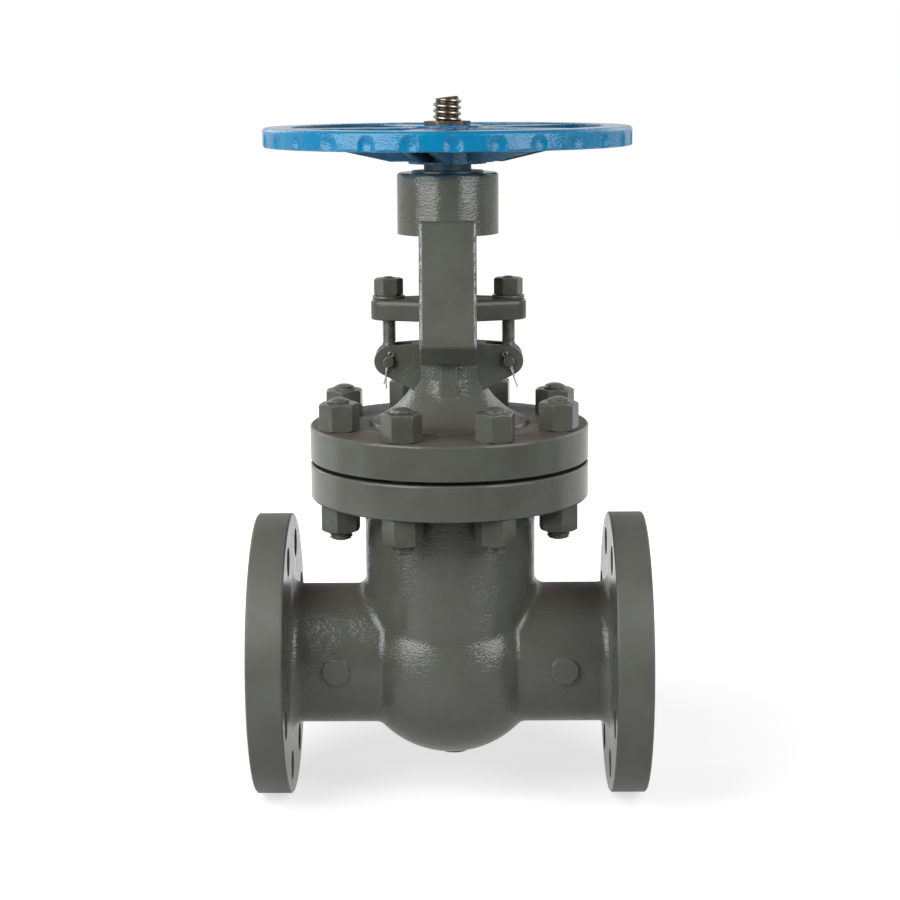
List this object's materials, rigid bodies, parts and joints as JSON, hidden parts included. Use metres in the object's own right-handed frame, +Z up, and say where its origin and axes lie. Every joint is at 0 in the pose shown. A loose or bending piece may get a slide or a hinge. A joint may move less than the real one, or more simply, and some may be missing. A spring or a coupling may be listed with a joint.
{
  "type": "parallel gate valve",
  "caption": "Flanged cast steel parallel gate valve with a rising stem, an outside screw and yoke, a bolted bonnet and a spoked handwheel.",
  "frame": {"origin": "centre of the left end flange's raised face, on the bore axis", "axes": "+X along the bore to the other flange, +Z up the stem, -Y towards the front face"},
  "size_m": [0.35, 0.316, 0.6169],
  "materials": {
    "cast_paint": "glossy grey-green paint on cast steel",
    "fastener_paint": "grey-green paint on forged steel",
    "wheel_paint": "glossy blue paint on cast iron",
    "yoke_nut_bronze": "turned bronze",
    "bare_steel": "bare steel, browned",
    "stem_steel": "turned stainless steel",
    "seat_steel": "ground stainless steel",
    "gasket": "dark graphite",
    "packing": "braided graphite"
  },
  "bodies": {
    "root": {"body": "cast_paint", "bonnet": "cast_paint", "bonnet_gasket": "gasket", "bonnet_lower_nuts": "fastener_paint", "bonnet_nut_1": "fastener_paint", "bonnet_nut_2": "fastener_paint", "bonnet_nut_3": "fastener_paint", "bonnet_nut_4": "fastener_paint", "bonnet_nut_5": "fastener_paint", "bonnet_nut_6": "fastener_paint", "bonnet_nut_7": "fastener_paint", "bonnet_nut_8": "fastener_paint", "bonnet_stud_1": "fastener_paint", "bonnet_stud_2": "fastener_paint", "bonnet_stud_3": "fastener_paint", "bonnet_stud_4": "fastener_paint", "bonnet_stud_5": "fastener_paint", "bonnet_stud_6": "fastener_paint", "bonnet_stud_7": "fastener_paint", "bonnet_stud_8": "fastener_paint", "eye_bolt_left": "fastener_paint", "eye_bolt_right": "fastener_paint", "eye_pin_left": "fastener_paint", "eye_pin_right": "fastener_paint", "gland_bush": "bare_steel", "gland_flange": "cast_paint", "gland_nut_left": "fastener_paint", "gland_nut_right": "fastener_paint", "gland_washer_left": "fastener_paint", "gland_washer_right": "fastener_paint", "hub_cap": "wheel_paint", "packing_rings": "packing", "seat_ring_left": "seat_steel", "seat_ring_right": "seat_steel"},
    "handwheel": {"handwheel": "wheel_paint", "handwheel_lock_nut": "bare_steel", "yoke_nut": "yoke_nut_bronze"},
    "stem": {"stem": "stem_steel", "gate_disc_left": "seat_steel", "gate_disc_right": "seat_steel", "gate_spreader": "bare_steel"}
  },
  "joints": [
    {"name": "handwheel_turn", "type": "hinge", "parent": "root", "child": "handwheel", "pos_m": [0.175, 0, 0.45], "axis": [0, 0, 1], "range_deg": [0, 7560]},
    {"name": "stem_rise", "type": "slide", "parent": "root", "child": "stem", "axis": [0, 0, 1], "range_m": [0, 0.1051]}
  ],
  "couplings": [
    {"joint": "stem_rise", "follows": "handwheel_turn", "m_per_rad": 0.00079577}
  ]
}
